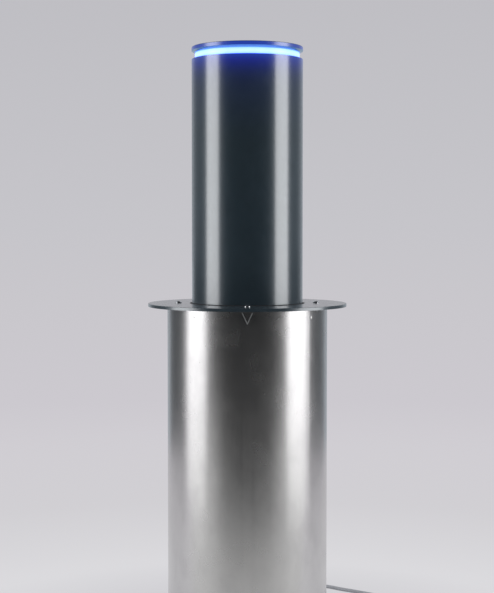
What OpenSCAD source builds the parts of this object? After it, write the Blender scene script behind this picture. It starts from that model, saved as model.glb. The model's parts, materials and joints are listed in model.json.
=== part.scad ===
// Automatic bollard. A steel tube with a light ring in its head stands over a round steel casing,
// which is set in the ground up to its flange. A motor turns a screw in the casing, and the screw
// draws the tube down until its cap lies just over the flange.
// The origin is the centre of the casing's underside. The front is -Y, and up is +Z.
// The tube is drawn raised.

/* [Rise] */
// Travel of the tube from raised to lowered
rise = 500; // [420:10:560]
// Depth of the casing beyond the travel
casing_extra = 200; // [196:1:260]
// Height of the cap over the flange when the tube is lowered
proud = 2; // [1:0.5:6]
// Height of the tube's lower end over the casing's underside when it is lowered
parked_z = 80; // [78:1:84]

/* [Casing] */
// Room between the tube and the casing's wall
side_room = 45.5; // [44:0.5:52]
// Wall of the casing
casing_wall = 3; // [2:0.5:4]
// Thickness of the base plate
base_t = 8; // [6:1:10]
// Thickness of the ring that carries the flange
top_ring_t = 12; // [10:1:14]
// Width by which the cover flange stands out past the casing
flange_over = 38; // [20:1:50]
// Thickness of the cover flange
flange_t = 6; // [4:0.5:8]
// Distance of the flange's screws from the casing's inner wall
flange_screw_inset = 19; // [16:0.5:24]
// Diameter of a flange screw's thread
flange_screw_d = 8; // [6:1:10]
// Distance of the anchor holes from the casing's inner wall
anchor_inset = 15; // [10:0.5:18]
// Diameter of an anchor hole
anchor_hole_d = 12; // [8:1:14]
// Diameter of the drain outlet
drain_d = 40; // [20:2:44]
// Distance of the drain outlet's centre from the casing's inner wall
drain_inset = 31; // [26:0.5:34]
// Height of the cable gland over the casing's underside
gland_z = 60; // [54:1:60]

/* [Orientation mark and plug welds] */
// Width of the engraved mark on the casing's front
mark_w = 19.5; // [12:0.5:24]
// Height of the engraved mark
mark_h = 21; // [14:0.5:28]
// Width of the mark's line
mark_line = 1.5; // [1:0.25:3]
// Distance from the flange's top face to the mark
mark_drop = 10; // [8:1:30]
// Distance from the flange's top face to the plug welds
weld_drop = 22; // [14:1:30]
// Turn of the first plug weld to the right of the front
weld_turn = 50; // [40:0.5:70]

/* [Tube] */
// Outer diameter of the bollard's tube
tube_d = 219; // [214:1:222]
// Wall of the tube
tube_wall = 5; // [4:0.5:6]
// Thickness of the collar on the tube's lower end
collar_t = 12; // [10:1:14]
// Thickness of the plate in the tube's upper end
head_plate_t = 10; // [8:1:12]

/* [Light head] */
// Height of the gap that the light shines through
light_gap = 13; // [10:1:20]
// Distance of the diffuser's face behind the tube's face
diffuser_inset = 7; // [6:0.5:10]
// Wall of the diffuser
diffuser_wall = 3; // [2:0.5:4]
// Height of the cap's upright rim
cap_rim_h = 7.5; // [6:0.5:12]
// Height of the bevel under the cap's rim
cap_bevel_h = 3.5; // [2:0.5:5]
// Width of the bevel under the cap's rim
cap_bevel_w = 6; // [4:0.5:8]
// Number of light chips on the strip
chip_count = 48; // [24:4:72]

/* [Guides and buffers] */
// Length of the guide bush
bush_l = 40; // [30:1:42]
// Wall of the guide bush
bush_wall = 8.2; // [7:0.2:9]
// Width of a guide rail
rail_w = 20; // [16:1:24]
// Depth of a guide rail
rail_t = 12; // [10:0.5:13]
// Height of a guide shoe
shoe_h = 58; // [50:1:60]
// Diameter of the upper buffers
up_buffer_d = 16; // [12:1:17]
// Diameter of the lower buffers
low_buffer_d = 24; // [18:1:26]
// Height of the lower buffers
low_buffer_h = 18; // [12:1:24]

/* [Screw drive] */
// Diameter of the lead screw
screw_d = 20; // [18:0.5:21]
// Outer diameter of the push rod
rod_d = 40; // [38:0.5:42]
// Inner diameter of the push rod
rod_bore_d = 24; // [23:0.5:28]
// Outer diameter of the actuator tube
actuator_d = 60; // [59:0.5:62]
// Wall of the actuator tube
actuator_wall = 3.5; // [3:0.25:4]
// Height of the drive nut
nut_h = 20; // [16:1:24]
// Length of the rod gland over the actuator tube
rod_gland_h = 24; // [18:1:28]
// Module of the gears
gear_module = 2; // [1.9:0.05:2]
// Teeth of the gear on the lead screw
spindle_teeth = 46; // [45:1:46]
// Teeth of the pinion on the motor's shaft
pinion_teeth = 18; // [17:1:18]
// Width of the gears
gear_w = 14; // [10:1:15]
// Diameter of the motor
motor_d = 63; // [56:1:63]
// Length of the motor without its end cap
motor_l = 140; // [100:5:180]
// Diameter of the motor's shaft
motor_shaft_d = 10; // [8:0.5:12]
// Diameter of the gearbox
gearbox_d = 194; // [192:1:198]
// Height of the gearbox housing
housing_h = 42; // [40:1:44]
// Wall of the gearbox housing
housing_wall = 5; // [4:0.5:6]
// Thickness of the gearbox base
gearbox_base_t = 6; // [5:0.5:8]
// Height of the rubber mounts under the gearbox
mount_h = 18; // [16:1:20]

/* [Supply cable] */
// Diameter of the supply cable
cable_d = 8; // [6:0.5:9]
// Mean radius of the put away coil
coil_r = 72; // [60:1:80]
// Height of the put away coil
coil_h = 33; // [24:1:40]
// Thickness of the put away coil across its turns
coil_w = 42; // [32:1:48]

/* [Hidden] */
$fn = 96;

// Clearances
// Between faces of pieces that move past each other or end at each other
gap = 0.3;
// Round a shaft or rod in its bush
running = 0.05;
// Round a screw in a through hole
screw_play = 0.3;
// Overshoot of a cut past the face that it opens
cut = 1;

// Colours
slate = [0.15, 0.18, 0.20];
stainless = [0.72, 0.72, 0.70];
dark_steel = [0.30, 0.32, 0.34];
zinc = [0.62, 0.64, 0.66];
cast = [0.58, 0.60, 0.62];
black = [0.06, 0.06, 0.07];
acetal = [0.86, 0.86, 0.82];
bronze = [0.72, 0.52, 0.28];
bright = [0.82, 0.83, 0.85];
glow = [0.80, 0.97, 1.00];
grey_cable = [0.58, 0.59, 0.61];
signal = [0.10, 0.35, 0.60];

// Casing
casing_h = rise + casing_extra;
tube_r = tube_d / 2;
casing_in_r = tube_r + side_room;
casing_r = casing_in_r + casing_wall;
flange_r = casing_r + flange_over;
flange_low = casing_h - flange_t;
ring_low = flange_low - top_ring_t;
flange_screw_at = casing_in_r - flange_screw_inset;
flange_screw_r = flange_screw_d / 2;
screw_head_r = 0.75 * flange_screw_d;
screw_head_h = 0.5 * flange_screw_d;
anchor_at = casing_in_r - anchor_inset;
drain_at = casing_in_r - drain_inset;
drain_turn = 255;
anchor_turn = 30;
sensor_turn = 75;

// Tube and head
tube_in_r = tube_r - tube_wall;
cap_top = casing_h + rise + proud;
cap_low = cap_top - cap_rim_h - cap_bevel_h;
tube_top = cap_low - light_gap;
tube_low = parked_z + rise;
collar_top = tube_low + collar_t;
plate_low = tube_top - head_plate_t;
diffuser_r = tube_r - diffuser_inset;

// Guides
flange_bore_r = tube_r + gap + bush_wall / 2;
bush_in_r = tube_r + gap;
bush_r = bush_in_r + bush_wall;
shoulder_w = 3;
shoulder_t = 6;
rail_in_r = casing_in_r - rail_t;
rail_turns = [45, 165, 285];
collar_r = rail_in_r - 3;
shoe_in_r = bush_r + 3;
shoe_out_r = casing_in_r - 3;
shoe_cheek = 8;
shoe_top = collar_top + shoe_h;
shoe_screw_d = 6;
shoe_screw_side = 8;

// Buffers
up_buffer_at = (shoe_in_r + rail_in_r) / 2;
up_buffer_low = shoe_top + gap;
low_buffer_at = (tube_r + collar_r) / 2;
low_buffer_turns = [105, 225, 345];
low_buffer_low = parked_z - gap - low_buffer_h;
stud_d = 6;
stud_l = 8;

// Gearbox
gearbox_low = base_t + mount_h;
housing_low = gearbox_low + gearbox_base_t;
housing_top = housing_low + housing_h;
gearbox_r = gearbox_d / 2;
housing_in_r = gearbox_r - housing_wall;
gearbox_screw_d = 5;
gearbox_screw_boss = 6;
gearbox_screw_at = housing_in_r - 5;
mount_at = gearbox_r - 19;
mount_r = 13;
mount_stud_r = 4;
rib_t = 4;

// Gears
gears_apart = gear_module * (spindle_teeth + pinion_teeth) / 2;
gear_low = housing_low + 14;
gear_top = gear_low + gear_w;
backlash = 0.2;
pressure_angle = 20;

// Spindle
screw_r = screw_d / 2;
journal_r = screw_r - 2;
low_bush_r = journal_r + 5;
low_bush_top = housing_low + 12 - gap;
screw_shoulder = housing_low + 12;
high_bush_r = screw_r + 6;
high_bush_flange_t = 3;
screw_low = housing_low + 2;

// Actuator and push rod
actuator_r = actuator_d / 2;
actuator_in_r = actuator_r - actuator_wall;
rod_r = rod_d / 2;
rod_bore_r = rod_bore_d / 2;
nut_low = housing_top + 8 + rise;
nut_top = nut_low + nut_h;
nut_r = actuator_in_r - 0.5;
skirt_h = 10;
skirt_r = rod_r + 4;
spigot_h = 6;
spigot_low = nut_top + skirt_h + 4;
actuator_top = spigot_low + spigot_h;
gland_top = actuator_top + rod_gland_h;
screw_top = nut_top + 16;
rod_flange_t = 8;
rod_flange_r = rod_r + 14;
rod_screw_at = rod_r + 7;
rod_screw_d = 6;
socket_r = actuator_r + 6;
socket_h = 14;

// Motor
motor_r = motor_d / 2;
motor_shaft_r = motor_shaft_d / 2;
motor_top = housing_top + motor_l;
end_cap_h = 22;
pilot_r = 20;

// Head screws and light core
cap_screw_d = 6;
cap_screw_at = 70;
core_r = diffuser_r - 12.5;
core_bore_r = 45;
core_lip = 4;
core_lip_t = 2;
strip_t = 1.2;
strip_play = 0.2;
chip_w = 2.8;
chip_t = 1.2;

// Lead to the head, drawn as the outer form of its curl
lead_at = 60;
lead_r = 9;
lead_boss_r = 10;
lead_low = housing_top + 6;
lead_high = plate_low - 8;

// Gland and cable
cable_r = cable_d / 2;
gland_thread_r = cable_r + 6;
gland_hex_r = gland_thread_r + 6;
gland_hex_l = 10;
gland_dome_l = 18;
gland_mouth = casing_r + gland_hex_l + gland_dome_l;
gland_nut_r = gland_thread_r + 5;
gland_nut_l = 7;
gland_nut_face = sqrt(pow(casing_in_r, 2) - pow(gland_nut_r, 2));
gland_inner_end = gland_nut_face - gland_nut_l - 2;
connector_r = cable_r + 5;
connector_l = 15;
coil_centre = [275, 150];

// Hand chosen points of the cable's route from the gland to the coil
cable_route = [
    [0, 186, 60], [0, 210, 59], [0, 240, 52], [1, 280, 34], [3, 320, 14], [7, 355, 5],
    [12, 390, 4], [22, 440, 4], [45, 480, 4], [90, 515, 4], [140, 512, 4], [187, 491, 4],
    [220, 465, 4], [253, 443, 4], [300, 405, 4], [335, 355, 4], [354, 290, 4], [362, 220, 4],
    [363, 172, 4]
];
route_steps = 4;
cable_sides = 10;

// General shapes

module rod(r, low, high) {
    translate([0, 0, low])
        cylinder(h = high - low, r = r);
}

module ring(outer_r, inner_r, low, high) {
    translate([0, 0, low])
        rotate_extrude()
            translate([inner_r, 0])
                square([outer_r - inner_r, high - low]);
}

module turned(profile) {
    rotate_extrude()
        polygon(profile);
}

module at(radius, turn) {
    rotate([0, 0, turn])
        translate([radius, 0, 0])
            children();
}

module hex_socket(across, depth, face) {
    translate([0, 0, face - depth])
        cylinder(h = depth + cut, r = across / sqrt(3), $fn = 6);
}

module cap_head_screw(d, low, head_low) {
    difference() {
        union() {
            rod(d / 2, low, head_low);
            rod(0.85 * d, head_low, head_low + d);
        }
        hex_socket(0.8 * d, 0.5 * d, head_low + d);
    }
}

// Casing and what is welded to it

module mark_outline() {
    lean = atan2(mark_h, mark_w / 2);
    half_across = mark_line / 2 / sin(lean);
    half_up = mark_line / 2 / cos(lean);
    polygon([
        [0, -half_up],
        [mark_w / 2 + half_across, mark_h],
        [mark_w / 2 - half_across, mark_h],
        [0, half_up],
        [half_across - mark_w / 2, mark_h],
        [-half_across - mark_w / 2, mark_h]
    ]);
}

module pit_casing() {
    mark_depth = 0.25 * casing_wall;
    weld_ball_r = 14;
    weld_depth = 0.15 * casing_wall;
    color(stainless)
        difference() {
            ring(casing_r, casing_in_r, base_t, flange_low);
            translate([0, mark_depth - casing_r, casing_h - mark_drop - mark_h])
                rotate([90, 0, 0])
                    linear_extrude(mark_depth + cut)
                        mark_outline();
            for (i = [0:3])
                at(casing_r - weld_depth + weld_ball_r, weld_turn - 90 + 90 * i)
                    translate([0, 0, casing_h - weld_drop])
                        sphere(r = weld_ball_r);
            translate([0, casing_r + cut, gland_z])
                rotate([90, 0, 0])
                    cylinder(h = casing_wall + 4 * cut, r = gland_thread_r);
        }
}

module base_plate() {
    color(zinc)
        difference() {
            rod(casing_r, 0, base_t);
            at(drain_at, drain_turn)
                rod(drain_d / 2, -cut, base_t + cut);
            for (i = [0:3])
                at(anchor_at, anchor_turn + 90 * i)
                    rod(anchor_hole_d / 2, -cut, base_t + cut);
            for (i = [0:3])
                at(mount_at, 45 + 90 * i)
                    rod(mount_stud_r, cut, base_t + cut);
        }
}

module stop_post(i) {
    weld_leg = 3;
    r = low_buffer_d / 2;
    color(zinc)
        at(low_buffer_at, low_buffer_turns[i])
            turned([
                [0, base_t],
                [r + weld_leg, base_t],
                [r, base_t + weld_leg],
                [r, low_buffer_low],
                [stud_d / 2, low_buffer_low],
                [stud_d / 2, low_buffer_low - stud_l],
                [0, low_buffer_low - stud_l]
            ]);
}

module top_ring() {
    color(zinc)
        difference() {
            ring(casing_in_r, bush_r, ring_low, flange_low);
            for (i = [0:3])
                at(flange_screw_at, 90 * i)
                    rod(flange_screw_r, ring_low - cut, flange_low + cut);
            for (turn = rail_turns)
                at(up_buffer_at, turn)
                    rod(stud_d / 2, ring_low - cut, ring_low + stud_l);
        }
}

module guide_rail(i) {
    bevel = 2;
    color(zinc)
        translate([0, 0, base_t])
            rotate([0, 0, rail_turns[i]])
                linear_extrude(ring_low - base_t)
                    intersection() {
                        circle(r = casing_in_r);
                        polygon([
                            [rail_in_r, bevel - rail_w / 2],
                            [rail_in_r + bevel, -rail_w / 2],
                            [casing_in_r + cut, -rail_w / 2],
                            [casing_in_r + cut, rail_w / 2],
                            [rail_in_r + bevel, rail_w / 2],
                            [rail_in_r, rail_w / 2 - bevel]
                        ]);
                    }
}

// Cover

module cover_flange() {
    edge = 0.5;
    color(slate)
        difference() {
            turned([
                [flange_bore_r, flange_low],
                [flange_r, flange_low],
                [flange_r, casing_h - edge],
                [flange_r - edge, casing_h],
                [flange_bore_r, casing_h]
            ]);
            for (i = [0:3])
                at(flange_screw_at, 90 * i)
                    rod(flange_screw_r + screw_play, flange_low - cut, casing_h + cut);
        }
}

module button_screw(r, low, face) {
    dome_h = 0.6 * screw_head_h;
    ball_r = (pow(screw_head_r, 2) + pow(dome_h, 2)) / (2 * dome_h);
    difference() {
        union() {
            rod(r, low, face);
            intersection() {
                translate([0, 0, face + screw_head_h - ball_r])
                    sphere(r = ball_r);
                rod(screw_head_r, face, face + screw_head_h + cut);
            }
        }
        hex_socket(1.25 * r, 0.5 * screw_head_h, face + screw_head_h);
    }
}

module flange_screws() {
    color(bright)
        for (i = [0:3])
            at(flange_screw_at, 90 * i)
                button_screw(flange_screw_r, ring_low, casing_h);
}

module wiper_seal() {
    lip_h = 1.2;
    color(black)
        turned([
            [bush_in_r, flange_low],
            [flange_bore_r, flange_low],
            [flange_bore_r, casing_h],
            [flange_bore_r - 1, casing_h + lip_h / 2],
            [bush_in_r + 0.9, casing_h + lip_h],
            [bush_in_r, casing_h + lip_h]
        ]);
}

module guide_bush() {
    lead_in = 1.5;
    color(acetal)
        turned([
            [bush_in_r + lead_in, flange_low - bush_l],
            [bush_r, flange_low - bush_l],
            [bush_r, ring_low - shoulder_t],
            [bush_r + shoulder_w, ring_low - shoulder_t],
            [bush_r + shoulder_w, ring_low],
            [bush_r, ring_low],
            [bush_r, flange_low],
            [bush_in_r, flange_low],
            [bush_in_r, flange_low - bush_l + lead_in]
        ]);
}

// Buffers

module upper_buffer(i) {
    r = up_buffer_d / 2;
    color(black)
        at(up_buffer_at, rail_turns[i])
            turned([
                [0, up_buffer_low],
                [r - 2, up_buffer_low],
                [r, up_buffer_low + 2],
                [r, ring_low],
                [stud_d / 2, ring_low],
                [stud_d / 2, ring_low + stud_l],
                [0, ring_low + stud_l]
            ]);
}

module lower_buffer(i) {
    r = low_buffer_d / 2;
    top = low_buffer_low + low_buffer_h;
    waist = 0.15 * r;
    color(black)
        at(low_buffer_at, low_buffer_turns[i])
            turned([
                [0, low_buffer_low - stud_l],
                [stud_d / 2, low_buffer_low - stud_l],
                [stud_d / 2, low_buffer_low],
                [r, low_buffer_low],
                [r, low_buffer_low + 0.2 * low_buffer_h],
                [r - waist, low_buffer_low + 0.4 * low_buffer_h],
                [r - waist, low_buffer_low + 0.6 * low_buffer_h],
                [r, low_buffer_low + 0.8 * low_buffer_h],
                [r - 1.5, top],
                [0, top]
            ]);
}

// Gearbox

module gearbox_mount(i) {
    waist = 2.5;
    stud_top = gearbox_low + gearbox_base_t - cut;
    color(black)
        at(mount_at, 45 + 90 * i)
            turned([
                [0, cut],
                [mount_stud_r, cut],
                [mount_stud_r, base_t],
                [mount_r, base_t],
                [mount_r, base_t + 0.2 * mount_h],
                [mount_r - waist, base_t + 0.35 * mount_h],
                [mount_r - waist, base_t + 0.65 * mount_h],
                [mount_r, base_t + 0.8 * mount_h],
                [mount_r, gearbox_low],
                [mount_stud_r, gearbox_low],
                [mount_stud_r, stud_top],
                [0, stud_top]
            ]);
}

module gearbox_base() {
    boss_h = 8;
    color(cast)
        difference() {
            union() {
                rod(gearbox_r, gearbox_low, housing_low);
                rod(low_bush_r + 5, gearbox_low, housing_low + boss_h);
            }
            rod(low_bush_r, housing_low, housing_low + boss_h + cut);
            for (i = [0:3])
                at(mount_at, 45 + 90 * i)
                    rod(mount_stud_r, gearbox_low - cut, housing_low - cut);
            for (i = [0:5])
                at(gearbox_screw_at, 60 * i)
                    rod(gearbox_screw_d / 2, gearbox_low + cut, housing_low + cut);
        }
}

module housing_cavity() {
    translate([0, 0, housing_low - cut])
        linear_extrude(housing_h - housing_wall + cut)
            difference() {
                circle(r = housing_in_r);
                for (i = [0:5])
                    rotate(60 * i)
                        translate([gearbox_screw_at, 0])
                            circle(r = gearbox_screw_boss, $fn = 48);
            }
}

module housing_ribs() {
    rib_out = 4;
    for (i = [0:11])
        at(gearbox_r - cut, 15 + 30 * i)
            translate([0, -rib_t / 2, housing_low])
                cube([rib_out + cut, rib_t, housing_h - 6]);
    for (turn = [30, 150, 210, 270, 330])
        at(socket_r - cut, turn)
            translate([0, -rib_t / 2, housing_top - cut])
                cube([gearbox_r - socket_r - 1, rib_t, rib_t + cut]);
}

module gearbox_housing() {
    color(cast)
        difference() {
            union() {
                rod(gearbox_r, housing_low, housing_top);
                rod(socket_r, housing_top - cut, housing_top + socket_h);
                at(lead_at, 180)
                    rod(lead_boss_r, housing_top - cut, lead_low);
                housing_ribs();
            }
            housing_cavity();
            rod(high_bush_r, housing_top - housing_wall - cut, housing_top + cut);
            rod(actuator_r, housing_top, housing_top + socket_h + cut);
            at(gears_apart, 90)
                rod(motor_r + 1, housing_top, housing_top + socket_h + cut);
            at(gears_apart, 90)
                rod(pilot_r, housing_top - housing_wall - cut, housing_top + cut);
            for (i = [0:5])
                at(gearbox_screw_at, 60 * i)
                    rod(gearbox_screw_d / 2 + screw_play, housing_low - cut, housing_top + cut);
        }
}

module gearbox_screws() {
    color(bright)
        for (i = [0:5])
            at(gearbox_screw_at, 60 * i)
                cap_head_screw(gearbox_screw_d, gearbox_low + 2, housing_top);
}

module spindle_bush_low() {
    color(bronze)
        turned([
            [journal_r + running, housing_low],
            [low_bush_r, housing_low],
            [low_bush_r, housing_low + 8],
            [low_bush_r + 3, housing_low + 8],
            [low_bush_r + 3, low_bush_top],
            [journal_r + running, low_bush_top]
        ]);
}

module spindle_bush_high() {
    low = housing_top - housing_wall - 5;
    color(bronze)
        turned([
            [screw_r + running, low],
            [high_bush_r, low],
            [high_bush_r, housing_top],
            [high_bush_r + 5, housing_top],
            [high_bush_r + 5, housing_top + high_bush_flange_t],
            [screw_r + running, housing_top + high_bush_flange_t]
        ]);
}

// Motor

module motor_body() {
    groove_w = 3;
    groove_depth = 1.5;
    groove_end = 12;
    color(black)
        at(gears_apart, 90)
            difference() {
                union() {
                    rod(motor_r, housing_top, motor_top);
                    rod(pilot_r, housing_top - housing_wall, housing_top + cut);
                }
                rod(motor_shaft_r + running, housing_top - housing_wall - cut, motor_top + cut);
                for (i = [0:11])
                    at(motor_r - groove_depth, 30 * i + 15)
                        translate([0, -groove_w / 2, housing_top + groove_end])
                            cube([groove_depth + cut, groove_w, motor_l - 2 * groove_end]);
            }
}

module motor_end_cap() {
    edge = 4;
    top = motor_top + end_cap_h;
    bearing_top = motor_top + 12;
    color(dark_steel)
        at(gears_apart, 90)
            turned([
                [motor_shaft_r + running, motor_top],
                [motor_r, motor_top],
                [motor_r, top - edge],
                [motor_r - edge, top],
                [0.5 * motor_r, top],
                [0.5 * motor_r, top - 2],
                [0, top - 2],
                [0, bearing_top],
                [motor_shaft_r + running, bearing_top]
            ]);
}

module motor_shaft() {
    color(bright)
        at(gears_apart, 90)
            rod(motor_shaft_r, gear_low - 4, motor_top + 10);
}

// Gears, with the true curve of an unwound thread on each tooth

function unwound(angle) = tan(angle) * 180 / PI - angle;
function lean_at(r, base_r) = r <= base_r ? 0 : unwound(acos(base_r / r));

function gear_points(teeth) =
    let (
        pitch_r = gear_module * teeth / 2,
        base_r = pitch_r * cos(pressure_angle),
        root_r = pitch_r - 1.25 * gear_module,
        tip_r = pitch_r + gear_module,
        slack = backlash / (4 * pitch_r) * 180 / PI,
        half_pitch = 90 / teeth - slack + unwound(pressure_angle),
        levels = [root_r, max(root_r, base_r) + 0.01, (base_r + pitch_r) / 2 + 0.4 * gear_module, tip_r],
        count = len(levels)
    )
    [
        for (tooth = [0:teeth - 1], i = [0:2 * count - 1])
            let (
                rising = i < count,
                r = levels[rising ? i : 2 * count - 1 - i],
                half = half_pitch - lean_at(r, base_r),
                turn = 360 * tooth / teeth + (rising ? -half : half)
            )
            [r * cos(turn), r * sin(turn)]
    ];

module gear(teeth, bore_r) {
    translate([0, 0, gear_low])
        linear_extrude(gear_w)
            difference() {
                polygon(gear_points(teeth));
                circle(r = bore_r);
            }
}

module spindle_gear() {
    hub_r = screw_r + 9;
    web_hole_r = 6;
    web_hole_at = 31;
    color(bright)
        rotate([0, 0, 90])
            difference() {
                union() {
                    gear(spindle_teeth, screw_r);
                    ring(hub_r, screw_r, gear_top - cut, gear_top + 2);
                }
                for (i = [0:5])
                    at(web_hole_at, 60 * i)
                        rod(web_hole_r, gear_low - cut, gear_top + cut);
            }
}

module motor_pinion() {
    hub_r = motor_shaft_r + 5;
    color(bright)
        at(gears_apart, 90)
            rotate([0, 0, 180 + 180 / pinion_teeth]) {
                gear(pinion_teeth, motor_shaft_r);
                ring(hub_r, motor_shaft_r, gear_top - cut, gear_top + 3);
            }
}

// Actuator

module actuator_tube() {
    color(zinc)
        ring(actuator_r, actuator_in_r, housing_top, actuator_top);
}

module rod_gland() {
    edge = 2;
    pin_hole_r = 2.5;
    color(dark_steel)
        difference() {
            turned([
                [rod_r + running, spigot_low],
                [actuator_in_r, spigot_low],
                [actuator_in_r, actuator_top],
                [actuator_r, actuator_top],
                [actuator_r, gland_top - edge],
                [actuator_r - edge, gland_top],
                [rod_r + running, gland_top]
            ]);
            for (i = [0:3])
                rotate([0, 0, 45 + 90 * i])
                    translate([actuator_r - 4, 0, (actuator_top + gland_top) / 2])
                        rotate([0, 90, 0])
                            cylinder(h = 4 + cut, r = pin_hole_r, $fn = 32);
        }
}

module lead_screw() {
    edge = 1.5;
    color(bright)
        turned([
            [0, screw_low],
            [journal_r - 1, screw_low],
            [journal_r, screw_low + 1],
            [journal_r, screw_shoulder],
            [screw_r, screw_shoulder],
            [screw_r, screw_top - edge],
            [screw_r - edge, screw_top],
            [0, screw_top]
        ]);
}

module drive_nut() {
    edge = 1.5;
    color(bronze)
        turned([
            [screw_r + running, nut_low],
            [nut_r - edge, nut_low],
            [nut_r, nut_low + edge],
            [nut_r, nut_top],
            [skirt_r, nut_top],
            [skirt_r, nut_top + skirt_h],
            [rod_r, nut_top + skirt_h],
            [rod_r, nut_top],
            [screw_r + running, nut_top]
        ]);
}

module push_rod() {
    flange_bottom = plate_low - rod_flange_t;
    color(bright)
        difference() {
            turned([
                [rod_bore_r, nut_top],
                [rod_r, nut_top],
                [rod_r, flange_bottom],
                [rod_flange_r, flange_bottom],
                [rod_flange_r, plate_low],
                [0, plate_low],
                [0, flange_bottom - 10],
                [rod_bore_r, flange_bottom - 10]
            ]);
            for (i = [0:3])
                at(rod_screw_at, 45 + 90 * i)
                    rod(rod_screw_d / 2, flange_bottom - cut, plate_low + cut);
        }
}

// Sensors

module limit_sensor(height) {
    block_w = 18;
    block_h = 30;
    barrel_r = 6;
    face = collar_r + 1.5;
    color(signal)
        translate([0, 0, height])
            rotate([0, 0, sensor_turn]) {
                intersection() {
                    translate([rail_in_r, -block_w / 2, -block_h / 2])
                        cube([rail_t + cut, block_w, block_h]);
                    rod(casing_in_r, -block_h, block_h);
                }
                translate([face, 0, 0])
                    rotate([0, 90, 0])
                        cylinder(h = rail_in_r - face + cut, r = barrel_r);
            }
}

// Gland and cable

module along_y(from, to, r) {
    translate([0, from, gland_z])
        rotate([-90, 0, 0])
            cylinder(h = to - from, r = r);
}

module cable_gland() {
    dome_r = gland_thread_r + 3;
    color(black)
        difference() {
            union() {
                along_y(gland_inner_end, casing_r + cut, gland_thread_r);
                translate([0, casing_r, gland_z])
                    rotate([-90, 0, 0])
                        cylinder(h = gland_hex_l, r = gland_hex_r, $fn = 6);
                translate([0, casing_r + gland_hex_l, gland_z])
                    rotate([-90, 0, 0])
                        turned([
                            [0, -cut],
                            [dome_r, -cut],
                            [dome_r, gland_dome_l - 6],
                            [cable_r + 2, gland_dome_l],
                            [0, gland_dome_l]
                        ]);
            }
            along_y(gland_inner_end - cut, gland_mouth + cut, cable_r);
        }
}

module gland_nut() {
    color(black)
        difference() {
            translate([0, gland_nut_face - gland_nut_l, gland_z])
                rotate([-90, 0, 0])
                    cylinder(h = gland_nut_l, r = gland_nut_r, $fn = 6);
            along_y(gland_nut_face - gland_nut_l - cut, gland_nut_face + cut, gland_thread_r);
        }
}

module drive_cable() {
    color(grey_cable)
        along_y(gearbox_r + connector_l, gland_mouth, cable_r);
}

module drive_connector() {
    collar_l = 5;
    color(black)
        difference() {
            union() {
                along_y(gearbox_r - 4, gearbox_r + connector_l, connector_r);
                along_y(gearbox_r - 4, gearbox_r + collar_l, connector_r + 3);
            }
            rod(gearbox_r, 0, parked_z);
        }
}

// A smooth curve through the points, as four-point blends from one to the next
function blended(p0, p1, p2, p3, t) =
    0.5 * (2 * p1 + (p2 - p0) * t + (2 * p0 - 5 * p1 + 4 * p2 - p3) * t * t
        + (3 * p1 - p0 - 3 * p2 + p3) * t * t * t);

function smooth_route(points, steps) =
    let (last = len(points) - 1)
    [
        for (i = [0:last - 1], s = [0:steps - 1])
            blended(points[max(i - 1, 0)], points[i], points[i + 1], points[min(i + 2, last)], s / steps),
        points[last]
    ];

function unit(v) = v / norm(v);

module swept_tube(line, r, sides) {
    last = len(line) - 1;
    rings = [
        for (i = [0:last])
            let (
                along = unit(line[min(i + 1, last)] - line[max(i - 1, 0)]),
                across = unit(cross(along, [0, 0, 1])),
                above = cross(across, along)
            )
            for (k = [0:sides - 1])
                line[i] + r * (cos(360 * k / sides) * across + sin(360 * k / sides) * above)
    ];
    walls = [
        for (i = [0:last - 1], k = [0:sides - 1])
            let (next = (k + 1) % sides)
            [i * sides + k, i * sides + next, (i + 1) * sides + next, (i + 1) * sides + k]
    ];
    start = [for (k = [0:sides - 1]) sides - 1 - k];
    end = [for (k = [0:sides - 1]) last * sides + k];
    polyhedron(points = rings, faces = concat([start], walls, [end]));
}

module supply_cable() {
    color(grey_cable)
        swept_tube(smooth_route(cable_route, route_steps), cable_r, cable_sides);
}

module cable_coil() {
    edge = 5;
    inner = coil_r - coil_w / 2;
    outer = coil_r + coil_w / 2;
    color(grey_cable)
        translate([coil_centre[0], coil_centre[1], 0])
            turned([
                [inner + edge, 0],
                [outer - edge, 0],
                [outer, edge],
                [outer, coil_h - edge],
                [outer - edge, coil_h],
                [inner + edge, coil_h],
                [inner, coil_h - edge],
                [inner, edge]
            ]);
}

module head_lead() {
    color(black)
        at(lead_at, 180)
            ring(lead_r, lead_r - 4, lead_low, lead_high);
}

// Tube and its lower end

module bollard_tube() {
    color(slate)
        ring(tube_r, tube_in_r, tube_low, tube_top);
}

module shoe_screw_places(turn) {
    for (side = [-1, 1])
        rotate([0, 0, turn])
            translate([up_buffer_at, side * shoe_screw_side, 0])
                children();
}

module tube_collar() {
    color(zinc)
        difference() {
            ring(collar_r, tube_r, tube_low, collar_top);
            for (turn = rail_turns)
                shoe_screw_places(turn)
                    rod(shoe_screw_d / 2 + screw_play, tube_low - cut, collar_top + cut);
        }
}

module shoe_outline() {
    half = rail_w / 2 + gap + shoe_cheek;
    slot_half = rail_w / 2 + gap;
    corner = 3;
    difference() {
        intersection() {
            circle(r = shoe_out_r);
            polygon([
                [shoe_in_r + corner, -half],
                [shoe_out_r + cut, -half],
                [shoe_out_r + cut, half],
                [shoe_in_r + corner, half],
                [shoe_in_r + 1, half - corner],
                [shoe_in_r + 1, corner - half]
            ]);
        }
        translate([rail_in_r - gap, -slot_half])
            square([rail_t + 2 * cut, 2 * slot_half]);
    }
}

module guide_shoe(i) {
    color(acetal)
        difference() {
            translate([0, 0, collar_top])
                rotate([0, 0, rail_turns[i]])
                    linear_extrude(shoe_h)
                        shoe_outline();
            shoe_screw_places(rail_turns[i])
                rod(shoe_screw_d / 2, collar_top - cut, collar_top + 14);
        }
}

module shoe_screws() {
    color(bright)
        for (turn = rail_turns)
            shoe_screw_places(turn)
                mirror([0, 0, 1])
                    cap_head_screw(shoe_screw_d, -(collar_top + 12), -tube_low);
}

// Head

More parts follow.
